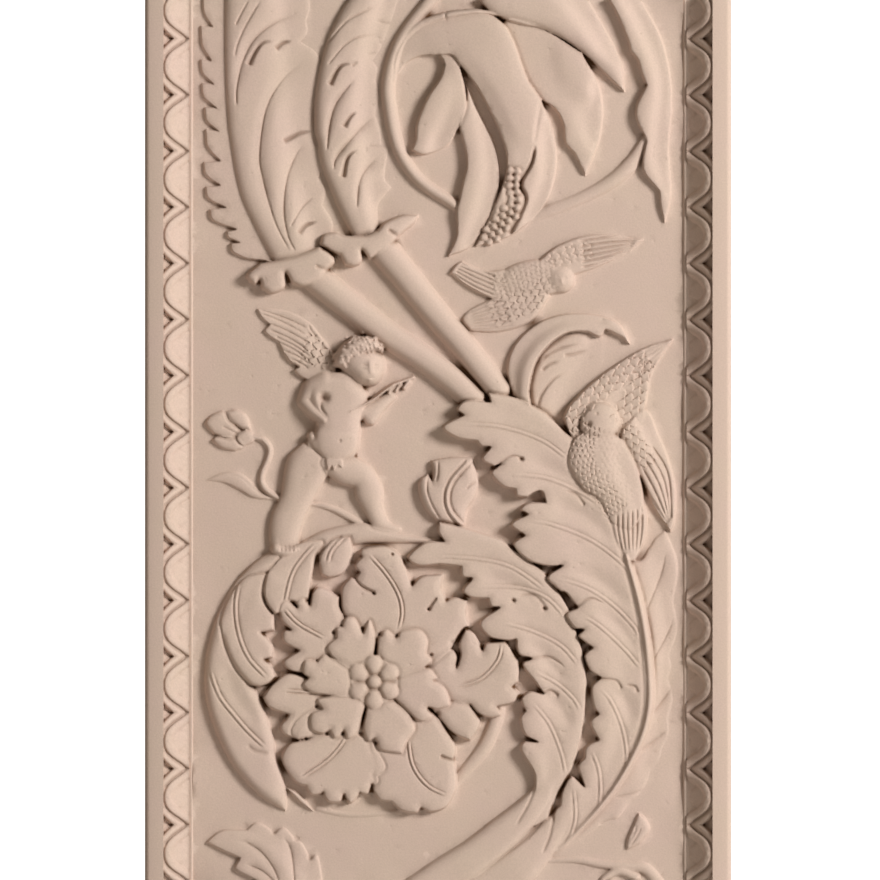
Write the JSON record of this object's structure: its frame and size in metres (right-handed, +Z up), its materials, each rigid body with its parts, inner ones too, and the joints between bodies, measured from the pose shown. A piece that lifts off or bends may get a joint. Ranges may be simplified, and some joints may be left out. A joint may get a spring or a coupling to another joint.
{
  "type": "wall relief",
  "caption": "Upright carved wall panel in pale stone: acanthus scrolls round a rosette and fruit pods, with a winged child and birds, between leaf mouldings.",
  "frame": {"origin": "centre of the flat back, on the plane of the wall", "axes": "+Z up along the panel's length, the carved face looks along -Y, +Y into the wall"},
  "size_m": [0.584, 0.065, 0.88],
  "materials": {
    "cast_stone": "matt, fine-grained, with small pits and dust in the hollows"
  },
  "bodies": {
    "root": {"relief_panel": "cast_stone"}
  },
  "joints": []
}
